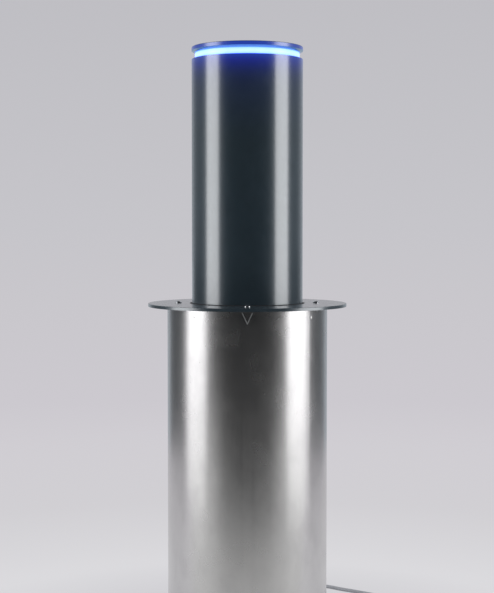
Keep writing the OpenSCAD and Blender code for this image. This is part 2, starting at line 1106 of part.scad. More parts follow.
module head_plate() {
    color(zinc)
        difference() {
            union() {
                rod(tube_in_r, plate_low, tube_top);
                at(lead_at, 180)
                    rod(lead_boss_r, lead_high, plate_low + cut);
            }
            for (i = [0:3])
                at(rod_screw_at, 45 + 90 * i)
                    rod(rod_screw_d / 2 + screw_play, plate_low - cut, tube_top + cut);
            for (i = [0:3])
                at(cap_screw_at, 45 + 90 * i)
                    rod(cap_screw_d / 2, plate_low - cut, tube_top + cut);
        }
}

module light_core() {
    color(acetal)
        difference() {
            turned([
                [core_bore_r, tube_top],
                [core_r + core_lip, tube_top],
                [core_r + core_lip, tube_top + core_lip_t],
                [core_r, tube_top + core_lip_t],
                [core_r, cap_low - core_lip_t],
                [core_r + core_lip, cap_low - core_lip_t],
                [core_r + core_lip, cap_low],
                [core_bore_r, cap_low]
            ]);
            for (i = [0:3])
                at(cap_screw_at, 45 + 90 * i)
                    rod(cap_screw_d / 2 + screw_play, tube_top - cut, cap_low + cut);
        }
}

module led_strip() {
    low = tube_top + core_lip_t + strip_play;
    high = cap_low - core_lip_t - strip_play;
    middle = (low + high) / 2;
    color(glow) {
        ring(core_r + strip_t, core_r, low, high);
        for (i = [0:chip_count - 1])
            at(core_r + strip_t - 0.3, 360 * i / chip_count)
                translate([0, -chip_w / 2, middle - chip_w / 2])
                    cube([chip_t + 0.3, chip_w, chip_w]);
    }
}

module light_diffuser() {
    color(glow)
        ring(diffuser_r, diffuser_r - diffuser_wall, tube_top, cap_low);
}

module head_cap() {
    edge = 0.8;
    head_r = cap_screw_d;
    head_h = cap_screw_d / 2;
    color(slate)
        difference() {
            turned([
                [0, cap_low],
                [tube_r - cap_bevel_w, cap_low],
                [tube_r, cap_low + cap_bevel_h],
                [tube_r, cap_top - edge],
                [tube_r - edge, cap_top],
                [0, cap_top]
            ]);
            for (i = [0:3])
                at(cap_screw_at, 45 + 90 * i) {
                    rod(cap_screw_d / 2 + screw_play, cap_low - cut, cap_top + cut);
                    translate([0, 0, cap_top - head_h])
                        cylinder(h = head_h, r1 = cap_screw_d / 2, r2 = head_r);
                }
        }
}

module cap_screws() {
    head_h = cap_screw_d / 2;
    color(bright)
        for (i = [0:3])
            at(cap_screw_at, 45 + 90 * i)
                difference() {
                    turned([
                        [0, plate_low + 2],
                        [cap_screw_d / 2, plate_low + 2],
                        [cap_screw_d / 2, cap_top - head_h],
                        [cap_screw_d, cap_top],
                        [0, cap_top]
                    ]);
                    hex_socket(0.6 * cap_screw_d, 0.4 * cap_screw_d, cap_top);
                }
}

module rod_screws() {
    color(bright)
        for (i = [0:3])
            at(rod_screw_at, 45 + 90 * i)
                cap_head_screw(rod_screw_d, plate_low - rod_flange_t + 1, tube_top);
}

pit_casing();
base_plate();
stop_post(0);  // stop_post_1
stop_post(1);  // stop_post_2
stop_post(2);  // stop_post_3
top_ring();
cover_flange();
flange_screws();
wiper_seal();
guide_bush();
guide_rail(0);  // guide_rail_1
guide_rail(1);  // guide_rail_2
guide_rail(2);  // guide_rail_3
upper_buffer(0);  // upper_buffer_1
upper_buffer(1);  // upper_buffer_2
upper_buffer(2);  // upper_buffer_3
lower_buffer(0);  // lower_buffer_1
lower_buffer(1);  // lower_buffer_2
lower_buffer(2);  // lower_buffer_3
gearbox_mount(0);  // gearbox_mount_1
gearbox_mount(1);  // gearbox_mount_2
gearbox_mount(2);  // gearbox_mount_3
gearbox_mount(3);  // gearbox_mount_4
gearbox_base();
gearbox_housing();
gearbox_screws();
spindle_bush_low();
spindle_bush_high();
motor_body();
motor_end_cap();
actuator_tube();
rod_gland();
limit_sensor(parked_z + collar_t / 2);  // limit_sensor_low
limit_sensor(tube_low + collar_t / 2);  // limit_sensor_high
cable_gland();
gland_nut();
drive_cable();
drive_connector();
supply_cable();
cable_coil();
head_lead();

// Nodes that rise and sink
bollard_tube();
tube_collar();
guide_shoe(0);  // guide_shoe_1
guide_shoe(1);  // guide_shoe_2
guide_shoe(2);  // guide_shoe_3
shoe_screws();
head_plate();
light_core();
led_strip();
light_diffuser();
head_cap();
cap_screws();
push_rod();
rod_screws();
drive_nut();

// Nodes that turn
lead_screw();
spindle_gear();
motor_shaft();
motor_pinion();
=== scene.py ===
"""Dresses the automatic bollard: materials, supply cable, fine turned pieces, lights and camera."""

import bmesh
import bpy
import json
import math
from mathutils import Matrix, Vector


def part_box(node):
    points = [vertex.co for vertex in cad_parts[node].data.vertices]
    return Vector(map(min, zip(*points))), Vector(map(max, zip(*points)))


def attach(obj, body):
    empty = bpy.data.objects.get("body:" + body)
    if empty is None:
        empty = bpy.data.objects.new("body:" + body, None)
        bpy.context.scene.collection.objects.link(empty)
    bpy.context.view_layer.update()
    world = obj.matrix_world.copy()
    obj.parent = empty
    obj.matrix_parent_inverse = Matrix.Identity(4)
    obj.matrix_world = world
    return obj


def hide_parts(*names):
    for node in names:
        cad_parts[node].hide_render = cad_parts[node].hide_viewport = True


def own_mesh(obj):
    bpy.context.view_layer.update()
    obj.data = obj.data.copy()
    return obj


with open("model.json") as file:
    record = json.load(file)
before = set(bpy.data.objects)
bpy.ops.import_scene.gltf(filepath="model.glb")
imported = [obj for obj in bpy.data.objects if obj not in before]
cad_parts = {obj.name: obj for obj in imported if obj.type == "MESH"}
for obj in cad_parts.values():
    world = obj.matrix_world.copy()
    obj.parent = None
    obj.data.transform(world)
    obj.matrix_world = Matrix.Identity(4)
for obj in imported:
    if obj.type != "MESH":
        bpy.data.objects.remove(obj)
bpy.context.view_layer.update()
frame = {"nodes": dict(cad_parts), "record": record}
nodes = frame["nodes"]


# Objects and meshes

def new_object(name, data):
    obj = bpy.data.objects.new(name, data)
    bpy.context.collection.objects.link(obj)
    return obj


def new_piece(name, data, body):
    piece = new_object(name, data)
    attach(piece, body)
    return piece


def mesh_from(name, points, faces, smooth=True):
    mesh = bpy.data.meshes.new(name)
    mesh.from_pydata(points, [], faces)
    mesh.update()
    work = bmesh.new()
    work.from_mesh(mesh)
    bmesh.ops.recalc_face_normals(work, faces=work.faces)
    work.to_mesh(mesh)
    work.free()
    for face in mesh.polygons:
        face.use_smooth = smooth
    return mesh


def skin(rings, sides, loop=False):
    """Faces between rings of points. The ends are closed, or in a loop the last ring meets the first."""
    faces = []
    for i in range(rings if loop else rings - 1):
        here = i * sides
        after = (i + 1) % rings * sides
        for k in range(sides):
            beside = (k + 1) % sides
            faces.append((here + k, here + beside, after + beside, after + k))
    if not loop:
        faces.append(tuple(range(sides)))
        faces.append(tuple((rings - 1) * sides + k for k in range(sides)))
    return faces


def tube_mesh(name, path, radius, sides):
    """A round skin along path, closed at both ends."""
    points = []
    up = Vector((0, 0, 1))
    for i, point in enumerate(path):
        ahead = (path[min(i + 1, len(path) - 1)] - path[max(i - 1, 0)]).normalized()
        side = ahead.cross(up)
        if side.length < 1e-4:
            side = Vector((1, 0, 0))
        side.normalize()
        top = side.cross(ahead).normalized()
        for k in range(sides):
            turn = math.tau * k / sides
            points.append(point + radius * (math.cos(turn) * side + math.sin(turn) * top))
    return mesh_from(name, points, skin(len(path), sides))


def smooth_step(x):
    x = min(1.0, max(0.0, x))
    return x * x * (3 - 2 * x)


# Camera

CAMERA_PLACE = (-0.0006, -2.77, 0.853)
# In degrees from straight down
CAMERA_TILT = 87.1

camera_data = bpy.data.cameras.new("camera")
camera_data.lens = 85
camera_data.sensor_width = 36
camera = new_object("camera", camera_data)
camera.location = CAMERA_PLACE
camera.rotation_euler = (math.radians(CAMERA_TILT), 0, 0)
bpy.context.scene.camera = camera
bpy.context.scene.view_settings.view_transform = "Standard"

# Supply cable: its first run repeats the route of the solid, the rest is wound into the coil

CABLE_D = 0.008
ROUTE = [
    (0, 0.186, 0.060), (0, 0.210, 0.059), (0, 0.240, 0.052), (0.001, 0.280, 0.034), (0.003, 0.320, 0.014),
    (0.007, 0.355, 0.005), (0.012, 0.390, 0.004), (0.022, 0.440, 0.004), (0.045, 0.480, 0.004),
    (0.090, 0.515, 0.004), (0.140, 0.512, 0.004), (0.187, 0.491, 0.004), (0.220, 0.465, 0.004),
    (0.253, 0.443, 0.004), (0.300, 0.405, 0.004), (0.335, 0.355, 0.004), (0.354, 0.290, 0.004),
    (0.362, 0.220, 0.004), (0.363, 0.172, 0.004),
]
COIL_CENTRE = Vector((0.275, 0.150, 0))
OUTER_TURN_R = 0.089
COLUMN_GAP = 0.0085
ROW_GAP = 0.0083
COLUMNS = [OUTER_TURN_R - COLUMN_GAP * k for k in range(5)]
ROWS = [CABLE_D / 2 + ROW_GAP * k for k in range(4)]
COIL_TURNS = len(COLUMNS) * len(ROWS)
TURN_POINTS = 24
# The coil settles onto its first turn over five points, and its free end is two points short of a whole turn
SETTLE_POINTS = 5
END_POINTS = 2
# Where in a turn the cable moves over to the next column, and up to the next row
OVER_FROM, OVER_TO = 0.64, 0.80
UP_FROM, UP_TO = 0.81, 0.95


def lane(turn):
    """Radius and height of a turn. Rows fill from outside in, then from inside out."""
    row, place = divmod(turn, len(COLUMNS))
    column = place if row % 2 == 0 else len(COLUMNS) - 1 - place
    return COLUMNS[column], ROWS[row]


def coil_points(entry):
    """Points of the coil, wound clockwise from where the route meets it."""
    inward = entry - COIL_CENTRE
    start = math.atan2(inward.y, inward.x)
    entry_r = inward.to_2d().length
    found = []
    for step in range(1, TURN_POINTS * COIL_TURNS - END_POINTS + 1):
        turn, part = divmod(step, TURN_POINTS)
        part /= TURN_POINTS
        here_r, here_z = lane(turn)
        next_r, next_z = lane(min(turn + 1, COIL_TURNS - 1))
        radius = here_r + (next_r - here_r) * smooth_step((part - OVER_FROM) / (OVER_TO - OVER_FROM))
        height = here_z + (next_z - here_z) * smooth_step((part - UP_FROM) / (UP_TO - UP_FROM))
        if step < SETTLE_POINTS:
            radius += (entry_r - here_r) * (1 - smooth_step(step / SETTLE_POINTS))
        angle = start - math.tau * step / TURN_POINTS
        found.append(COIL_CENTRE + Vector((radius * math.cos(angle), radius * math.sin(angle), height)))
    return found


def handles_of(points):
    found = []
    for i in range(len(points)):
        before = points[max(i - 1, 0)]
        after = points[min(i + 1, len(points) - 1)]
        found.append((after - before) / 6)
    return found


def cord_curve(name, points):
    curve = bpy.data.curves.new(name, "CURVE")
    curve.dimensions = "3D"
    curve.bevel_depth = 1.0
    curve.bevel_resolution = 3
    curve.resolution_u = 4
    curve.use_fill_caps = True
    spline = curve.splines.new("BEZIER")
    spline.bezier_points.add(len(points) - 1)
    for knot, point, handle in zip(spline.bezier_points, points, handles_of(points)):
        knot.handle_left_type = "FREE"
        knot.handle_right_type = "FREE"
        knot.co = point
        knot.radius = CABLE_D / 2
        knot.handle_left = point - handle
        knot.handle_right = point + handle
    return curve


route = [Vector(point) for point in ROUTE]
route += coil_points(route[-1])
supply_cord = new_piece("supply_cord", cord_curve("supply_cord", route), "casing")
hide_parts("supply_cable", "cable_coil")

# Bare cores at the cable's free end, each with the end of its strand

CORE_TONES = {
    "core_brown": (0.10, 0.035, 0.015), "core_blue": (0.02, 0.08, 0.30),
    "core_black": (0.015, 0.015, 0.016), "core_grey": (0.25, 0.26, 0.27), "core_earth": (0.42, 0.40, 0.04),
}
CORE_R = 0.0011
STRAND_R = 0.0006
# How far the cores lie from the cable's middle, begin inside its end, and spread within so many steps
CORE_OFF = 0.0021
CORE_HIDDEN = 0.002
CORE_SPREAD, SPREAD_STEPS = 0.0012, 8
# Points and the steps between them: a core is 27 mm long, and its strand begins 1 mm inside the core's end
CORE_POINTS, CORE_STEP = 10, 0.003
STRAND_POINTS, STRAND_STEP = 6, 0.0015
STRAND_HIDDEN = 0.001


def bare_core(name, turn):
    """The sleeve and the strand of one core, at an angle round the cable's end."""
    ahead = (route[-1] - route[-2]).normalized()
    side = Vector((-ahead.y, ahead.x, 0))
    off = CORE_OFF * (math.cos(turn) * side + math.sin(turn) * Vector((0, 0, 1)))
    spread = CORE_SPREAD * (math.cos(turn) * side)
    base = route[-1] - CORE_HIDDEN * ahead + off
    path = [base + CORE_STEP * k * ahead + spread * (k / SPREAD_STEPS) ** 2 for k in range(CORE_POINTS)]
    tip = [path[-1] - STRAND_HIDDEN * ahead + STRAND_STEP * k * ahead for k in range(STRAND_POINTS)]
    sleeve = new_piece(name, tube_mesh(name, path, CORE_R, 10), "casing")
    end = name + "_end"
    strand = new_piece(end, tube_mesh(end, tip, STRAND_R, 8), "casing")
    return sleeve, strand


cores = {name: bare_core(name, math.tau * i / len(CORE_TONES)) for i, name in enumerate(CORE_TONES)}

# Ties round the coil: thin bands with rounded corners

TIE_ANGLES = (35, 155, 275)
TIE_FLOOR = 0.0001
TIE_ROOM = 0.0012
TIE_CORNER_STEPS = 6
# Half of the band's section from its outer face inwards: half width and depth
TIE_HALF = [(0.0065, 0), (0.0075, 0.0003), (0.0075, 0.0008), (0.0065, 0.0011)]


def tie_path():
    """The band's way round the coil's section, as distance and height, and the middle of that section."""
    corner = CABLE_D / 2 + TIE_ROOM
    low, high = TIE_FLOOR, ROWS[-1] + corner
    inner, outer = COLUMNS[-1] - corner, COLUMNS[0] + corner
    points = []
    for x, z, start in ((outer - corner, low + corner, -90), (outer - corner, high - corner, 0),
                        (inner + corner, high - corner, 90), (inner + corner, low + corner, 180)):
        for k in range(TIE_CORNER_STEPS + 1):
            bend = math.radians(start + 90 * k / TIE_CORNER_STEPS)
            points.append(Vector((x + corner * math.cos(bend), z + corner * math.sin(bend))))
    return points, Vector(((inner + outer) / 2, (low + high) / 2))


def tie_mesh(name, angle):
    path, middle = tie_path()
    out = Vector((math.cos(angle), math.sin(angle), 0))
    along = Vector((-math.sin(angle), math.cos(angle), 0))
    section = [(-wide, deep) for wide, deep in reversed(TIE_HALF)] + TIE_HALF
    points = []
    for outside in path:
        away = (outside - middle).normalized()
        for wide, deep in section:
            place = outside - away * deep
            points.append(COIL_CENTRE + out * place.x + along * wide + Vector((0, 0, place.y)))
    return mesh_from(name, points, skin(len(path), len(section), loop=True))


ties = []
for number, angle in enumerate(TIE_ANGLES, 1):
    name = f"coil_tie_{number}"
    ties.append(new_piece(name, tie_mesh(name, math.radians(angle)), "casing"))


# Lead screw: a four start rounded thread of 20 mm lead on the plain journal

def lead_screw_mesh():
    low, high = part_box("lead_screw")
    journal_top, journal_r = 0.044, 0.008
    lead, starts = 0.020, 4
    crest, root = 0.010, 0.0082
    chamfer = 0.0005
    end_length, end_chamfer = 0.0004, 0.0006
    sides, rings_a_groove = 32, 5
    points = []

    def add_ring(z, radii):
        for k, r in enumerate(radii):
            turn = math.tau * k / sides
            points.append((r * math.cos(turn), r * math.sin(turn), z))

    def thread_r(z, k):
        """The wave of the thread, made steeper so that its crest and root are flat."""
        part = (z / lead - k / sides) * starts % 1.0
        wave = 0.5 + 0.5 * math.cos(math.tau * part)
        return root + (crest - root) * smooth_step(1.6 * wave - 0.3)

    add_ring(low.z, [journal_r - chamfer] * sides)
    add_ring(low.z + chamfer, [journal_r] * sides)
    add_ring(journal_top, [journal_r] * sides)
    z = journal_top + chamfer
    while z < high.z - 2 * end_length:
        add_ring(z, [thread_r(z, k) for k in range(sides)])
        z += lead / starts / rings_a_groove
    add_ring(high.z - end_length, [root] * sides)
    add_ring(high.z, [root - end_chamfer] * sides)
    return mesh_from("threaded_screw", points, skin(len(points) // sides, sides))


threaded_screw = new_piece("threaded_screw", lead_screw_mesh(), "spindle")
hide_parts("lead_screw")

# Curly lead from the gearbox to the head, built at one length; it does not shorten here as the tube goes down

WIRE_R = 0.0019
CURL_TURNS = 96
POINTS_A_CURL = 14
STRAIGHT, STRAIGHT_STEPS = 0.014, 5
# The curls grow to their full width over this share of the length, at each end
CURL_GROWTH = 1 / 60


def curly_path():
    low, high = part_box("head_lead")
    axis = Vector(((low.x + high.x) / 2, (low.y + high.y) / 2, 0))
    curl_r = (high.x - low.x) / 2 - WIRE_R
    path = [axis + Vector((0, 0, low.z + STRAIGHT * k / STRAIGHT_STEPS)) for k in range(STRAIGHT_STEPS)]
    steps = CURL_TURNS * POINTS_A_CURL
    for k in range(steps + 1):
        part = k / steps
        r = curl_r * smooth_step(part / CURL_GROWTH) * smooth_step((1 - part) / CURL_GROWTH)
        turn = math.tau * CURL_TURNS * part
        z = low.z + STRAIGHT + part * (high.z - low.z - 2 * STRAIGHT)
        path.append(axis + Vector((r * math.cos(turn), r * math.sin(turn), z)))
    for k in range(1, STRAIGHT_STEPS + 1):
        path.append(axis + Vector((0, 0, high.z - STRAIGHT + STRAIGHT * k / STRAIGHT_STEPS)))
    return path


curly_mesh = tube_mesh("curly_lead", curly_path(), WIRE_R, 7)
curly_lead = new_piece("curly_lead", curly_mesh, "casing")
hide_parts("head_lead")
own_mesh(curly_lead)


# The mark's two lines: a bright etched filling of the groove in the casing's front

def mark_mesh():
    casing_top, below_top = 0.700, 0.010
    width, height, line = 0.0195, 0.021, 0.0014
    face_r, groove_floor = 0.15785, 0.15720
    steps = 8
    tip = casing_top - below_top - height
    lean = math.atan2(height, width / 2)
    across = line / 2 / math.sin(lean)
    upwards = line / 2 / math.cos(lean)
    points = []
    for k in range(-steps, steps + 1):
        part = abs(k) / steps
        side = math.copysign(part, k)
        outer = (side * (width / 2 + across), tip + part * height - (1 - part) * upwards)
        inner = (side * (width / 2 - across), tip + part * height + (1 - part) * upwards)
        for x, z in (outer, inner):
            points.append((x, -math.sqrt(face_r ** 2 - x ** 2), z))
        for x, z in (inner, outer):
            points.append((x, -groove_floor, z))
    return mesh_from("mark_line", points, skin(2 * steps + 1, 4), smooth=False)


mark_line = new_piece("mark_line", mark_mesh(), "casing")


# Materials

class Tree:
    """A cleared node tree, with helpers that add a node and return its output."""

    def __init__(self, owner):
        owner.use_nodes = True
        self.tree = owner.node_tree
        self.tree.nodes.clear()

    def add(self, kind):
        return self.tree.nodes.new("ShaderNode" + kind)

    def link(self, output, socket):
        self.tree.links.new(output, socket)

    def feed(self, socket, value):
        """value is another node's output, a number, a vector, or a colour as a tuple."""
        if isinstance(value, bpy.types.NodeSocket):
            self.link(value, socket)
        elif isinstance(value, tuple):
            socket.default_value = (*value, 1)
        else:
            socket.default_value = value

    def place(self):
        return self.add("TexCoord").outputs["Object"]

    def axis(self, place, letter):
        node = self.add("SeparateXYZ")
        self.link(place, node.inputs[0])
        return node.outputs[letter]

    def ramp(self, value, *stops):
        node = self.add("ValToRGB")
        while len(node.color_ramp.elements) < len(stops):
            node.color_ramp.elements.new(0.5)
        for element, (at, colour) in zip(node.color_ramp.elements, stops):
            element.position = at
            element.color = (*colour, 1)
        self.link(value, node.inputs[0])
        return node.outputs[0]

    def remap(self, value, low, high, to_low, to_high, smooth=False):
        node = self.add("MapRange")
        if smooth:
            node.interpolation_type = "SMOOTHSTEP"
        sockets = ("Value", "From Min", "From Max", "To Min", "To Max")
        for socket, number in zip(sockets, (value, low, high, to_low, to_high)):
            self.feed(node.inputs[socket], number)
        return node.outputs[0]

    def maths(self, kind, *values):
        node = self.add("Math")
        node.operation = kind
        for socket, value in zip(node.inputs, values):
            self.feed(socket, value)
        return node.outputs[0]

    def mix(self, amount, a, b):
        node = self.add("Mix")
        node.data_type = "RGBA"
        for socket, value in ((node.inputs[0], amount), (node.inputs[6], a), (node.inputs[7], b)):
            self.feed(socket, value)
        return node.outputs[2]

    def mix_shaders(self, amount, a, b):
        node = self.add("MixShader")
        for socket, output in zip(node.inputs, (amount, a, b)):
            self.link(output, socket)
        return node.outputs[0]

    def shader(self, kind, colour, strength=None):
        """A plain shader: an emission, a background or a diffuse one."""
        node = self.add(kind)
        self.feed(node.inputs["Color"], colour)
        if strength is not None:
            self.feed(node.inputs["Strength"], strength)
        return node.outputs[0]


class Surface(Tree):
    """A principled material. Places are taken from Object coordinates, in metres."""

    def __init__(self, name, colour, rough, metallic=0.0, **sockets):
        self.material = bpy.data.materials.new(name)
        super().__init__(self.material)
        self.bsdf = self.add("BsdfPrincipled")
        self.link(self.bsdf.outputs[0], self.add("OutputMaterial").inputs[0])
        self.to("Base Color", colour)
        self.to("Roughness", rough)
        self.to("Metallic", metallic)
        for socket, value in sockets.items():
            self.to(socket.replace("_", " "), value)
        self.here = self.place()

    def to(self, socket, value):
        self.feed(self.bsdf.inputs[socket], value)

    def noise(self, scale, detail=3.0, rough=0.5, stretch=None):
        node = self.add("TexNoise")
        node.inputs["Scale"].default_value = scale
        node.inputs["Detail"].default_value = detail
        node.inputs["Roughness"].default_value = rough
        where = self.here
        if stretch:
            mapping = self.add("Mapping")
            mapping.inputs["Scale"].default_value = stretch
            self.link(where, mapping.inputs["Vector"])
            where = mapping.outputs[0]
        self.link(where, node.inputs["Vector"])
        return node.outputs["Fac"]

    def bump(self, height, depth):
        """height goes from 0 to 1, and stands up by depth in metres."""
        node = self.add("Bump")
        node.inputs["Strength"].default_value = 1.0
        node.inputs["Distance"].default_value = depth
        self.link(height, node.inputs["Height"])
        self.link(node.outputs[0], self.bsdf.inputs["Normal"])
        return node.outputs[0]


def varied(name, colour, rough, spread=0.12, scale=60, metallic=0.0, grain=900, depth=0.00002, **sockets):
    """A material whose tone and gloss wander softly, with a fine grain that stands up by depth."""
    s = Surface(name, colour, rough, metallic, **sockets)
    dark = tuple(c * (1 - spread) for c in colour)
    light = tuple(min(1.0, c * (1 + spread)) for c in colour)
    s.to("Base Color", s.ramp(s.noise(scale, 4, 0.6), (0.3, dark), (0.7, light)))
    s.to("Roughness", s.remap(s.noise(scale * 2.3, 3), 0.3, 0.7, max(0.02, rough - 0.06), rough + 0.06))
    s.bump(s.noise(grain, 2), depth)
    return s.material


# Powder coat: satin slate. Close to the head the ring's blue light is painted on it, as a glow the paint
# gives off

GLOW_EDGE = 1.178
RIM_HEIGHT = 0.014
# The glow's two parts: how far down each reaches, how steeply it fades, and its strength
GLOW_NEAR = (0.080, 4.0, 0.32)
GLOW_WIDE = (0.180, 2.0, 0.045)
# On the cap the painted glow ends at the top edge, and the bevel under the rim gets painted blue light of its
# own, standing in for the ring's light on it
CAP_FADE_FROM, CAP_FADE_TO = 1.2005, 1.2019
BEVEL_TOP = 1.1945
BEVEL_BLUR = 0.0002
BEVEL_PAINTED_LIGHT = (0.04, 0.50, 1.0)
BEVEL_GLOW = 0.20


def slate_paint(name="slate_paint", coat_ior=2.0, coat_rough=0.18, specular=0.7, lit_bevel=False):
    s = Surface(name, (0.016, 0.030, 0.041), 0.34, 0.0, Coat_Weight=1.0, Coat_Roughness=coat_rough,
                Coat_IOR=coat_ior, Specular_IOR_Level=specular, Specular_Tint=(0.78, 0.92, 1.0))
    cloud = s.noise(22, 4, 0.6)
    s.to("Base Color", s.ramp(cloud, (0.3, (0.014, 0.027, 0.037)), (0.7, (0.018, 0.033, 0.045))))
    s.to("Roughness", s.remap(s.noise(140, 3), 0.3, 0.7, 0.28, 0.40))
    s.to("Coat Normal", s.bump(s.noise(1500, 2), 0.0000012))
    z = s.axis(s.here, "Z")

    def glow_part(reach, fade, strength):
        rise = s.remap(z, GLOW_EDGE - reach, GLOW_EDGE, 0.0, 1.0)
        return s.maths("MULTIPLY", s.maths("POWER", rise, fade), strength)

    # Painted light: the ring's blue glow, given off by the paint and fading downwards from the head
    glow = s.maths("ADD", glow_part(*GLOW_NEAR), glow_part(*GLOW_WIDE))
    rim = s.remap(z, GLOW_EDGE - RIM_HEIGHT, GLOW_EDGE, 0.0, 1.0, smooth=True)
    glow_tint = s.mix(rim, (0.0, 0.012, 1.0), (0.02, 0.09, 1.0))
    # On the cap the painted glow fades out at the top edge, and the bevel under the rim gets painted light
    # from the ring
    if lit_bevel:
        glow = s.maths("MULTIPLY", glow, s.remap(z, CAP_FADE_FROM, CAP_FADE_TO, 1.0, 0.0))
        below = s.remap(z, BEVEL_TOP + BEVEL_BLUR, BEVEL_TOP, 0.0, 1.0)
        glow_tint = s.mix(below, glow_tint, BEVEL_PAINTED_LIGHT)
        glow = s.mix(below, glow, (BEVEL_GLOW, BEVEL_GLOW, BEVEL_GLOW))
    s.to("Emission Color", glow_tint)
    s.to("Emission Strength", glow)
    return s.material


def flange_paint():
    return slate_paint("flange_paint", coat_ior=2.15, coat_rough=0.22, specular=0.8)


def cap_paint():
    return slate_paint("cap_paint", coat_ior=1.9, coat_rough=0.26, specular=0.8, lit_bevel=True)


def stainless():
    """Brushed casing steel: gloss that varies between fine streaks, faint clouds and handling marks."""
    s = Surface("stainless", (0.62, 0.615, 0.612), 0.22, 1.0)
    cloud = s.noise(11, 4, 0.6, stretch=(1, 1, 0.6))
    s.to("Base Color", s.ramp(cloud, (0.32, (0.555, 0.550, 0.550)), (0.52, (0.622, 0.617, 0.614)),
                              (0.72, (0.660, 0.655, 0.650))))
    streaks = s.remap(s.noise(110, 3, 0.5, stretch=(1, 1, 0.03)), 0.3, 0.7, 0.253, 0.263)
    marks = s.remap(s.noise(17, 2, 0.5), 0.45, 0.75, -0.004, 0.026)
    s.to("Roughness", s.maths("ADD", streaks, marks))
    s.bump(s.noise(13, 1, 0.5, stretch=(1, 1, 0.7)), 0.00016)
    return s.material


def zinc_steel():
    s = Surface("zinc_steel", (0.60, 0.62, 0.64), 0.34, 1.0)
    cells = s.add("TexVoronoi")
    cells.inputs["Scale"].default_value = 140
    s.link(s.here, cells.inputs["Vector"])
    spangle = s.ramp(cells.outputs["Color"], (0.2, (0.52, 0.54, 0.56)), (0.8, (0.66, 0.68, 0.69)))
    s.to("Base Color", spangle)
    s.to("Roughness", s.remap(cells.outputs["Distance"], 0.0, 0.8, 0.27, 0.44))
    s.bump(s.noise(600, 3), 0.000006)
    return s.material


def cast_aluminium():
    return varied("cast_aluminium", (0.55, 0.57, 0.59), 0.48, spread=0.10, scale=45, metallic=1.0, grain=500,
                  depth=0.00005)


def bright_steel():
    s = Surface("bright_steel", (0.72, 0.73, 0.75), 0.20, 1.0)
    turned = s.noise(30, 3, 0.6, stretch=(1, 1, 60))
    s.to("Roughness", s.remap(turned, 0.3, 0.7, 0.14, 0.28))
    s.to("Base Color", s.ramp(s.noise(70, 3), (0.3, (0.66, 0.67, 0.69)), (0.7, (0.76, 0.77, 0.79))))
    s.bump(turned, 0.000002)
    return s.material


def chromed_rod():
    s = Surface("chromed_rod", (0.80, 0.81, 0.83), 0.08, 1.0)
    ground = s.noise(25, 2, 0.6, stretch=(1, 1, 90))
    s.to("Roughness", s.remap(ground, 0.3, 0.7, 0.05, 0.12))
    s.to("Base Color", s.ramp(s.noise(30, 3), (0.3, (0.76, 0.77, 0.79)), (0.7, (0.83, 0.84, 0.86))))
    return s.material


def bronze():
    s = Surface("bronze", (0.60, 0.38, 0.16), 0.28, 1.0)
    s.to("Base Color", s.ramp(s.noise(90, 4, 0.6), (0.3, (0.50, 0.31, 0.13)), (0.7, (0.66, 0.44, 0.20))))
    turned = s.noise(40, 2, 0.6, stretch=(1, 1, 60))
    s.to("Roughness", s.remap(turned, 0.3, 0.7, 0.22, 0.36))
    s.bump(turned, 0.000003)
    return s.material


def rubber_black():
    return varied("rubber_black", (0.020, 0.020, 0.021), 0.62, spread=0.25, scale=80, grain=700)


def acetal():
    return varied("acetal", (0.78, 0.78, 0.74), 0.38, spread=0.04, scale=50, depth=0.000006,
                  Subsurface_Weight=0.15, Subsurface_Radius=Vector((0.004, 0.004, 0.003)))


def black_plastic():
    return varied("black_plastic", (0.028, 0.028, 0.031), 0.46, spread=0.2, scale=120, grain=1100,
                  depth=0.000015)


def sensor_blue():
    return varied("sensor_blue", (0.03, 0.15, 0.38), 0.42, spread=0.1, scale=120, depth=0.00001)


def grey_sheath():
    return varied("grey_sheath", (0.36, 0.37, 0.395), 0.46, spread=0.06, grain=800, depth=0.00001)


def polished_screws():
    return varied("polished_screws", (0.62, 0.63, 0.65), 0.09, spread=0.06, scale=150, metallic=1.0,
                  depth=0.000002)


def black_paint():
    return varied("black_paint", (0.028, 0.029, 0.033), 0.34, spread=0.15, scale=90, grain=700,
                  Coat_Weight=0.4, Coat_Roughness=0.15)


def dark_steel():
    return varied("dark_steel", (0.10, 0.11, 0.12), 0.36, scale=90, metallic=0.8, grain=700, depth=0.000008)


def light_strip():
    return varied("light_strip", (0.88, 0.90, 0.80), 0.40, spread=0.05, scale=200, depth=0.000005)


def opal():
    """The lit ring: pale blue across its middle, deep blue where it meets the metal."""
    s = Surface("opal", (0.20, 0.34, 0.42), 0.30, 0.0)
    low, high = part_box("light_diffuser")
    up = s.remap(s.axis(s.here, "Z"), low.z, high.z, 0.0, 1.0)
    tone = s.ramp(up, (0.0, (0.01, 0.09, 1.0)), (0.18, (0.12, 0.21, 1.0)), (0.5, (0.162, 0.235, 1.0)),
                  (0.85, (0.12, 0.21, 1.0)), (1.0, (0.01, 0.08, 1.0)))
    s.to("Emission Color", tone)
    s.to("Emission Strength", s.remap(s.noise(60, 2), 0.3, 0.7, 3.35, 3.65))
    return s.material


def etched_steel():
    return varied("etched_steel", (0.36, 0.37, 0.37), 0.62, spread=0.10, scale=300, metallic=0.35, grain=2500,
                  depth=0.00001)


def copper():
    return varied("copper", (0.72, 0.36, 0.22), 0.3, spread=0.1, scale=300, metallic=1.0, grain=2500,
                  depth=0.00001)


def webbing():
    return varied("webbing", (0.022, 0.022, 0.024), 0.75, spread=0.3, scale=400, grain=2200, depth=0.00008)


def core_sleeve(name):
    return varied(name, CORE_TONES[name], 0.42, spread=0.08, scale=200, grain=1500, depth=0.000004)


# Each of the record's material slots has the material of its name, and two painted nodes have their own

def wear(obj, material):
    if not obj.material_slots:
        obj.data.materials.append(None)
    for place in obj.material_slots:
        place.material = material


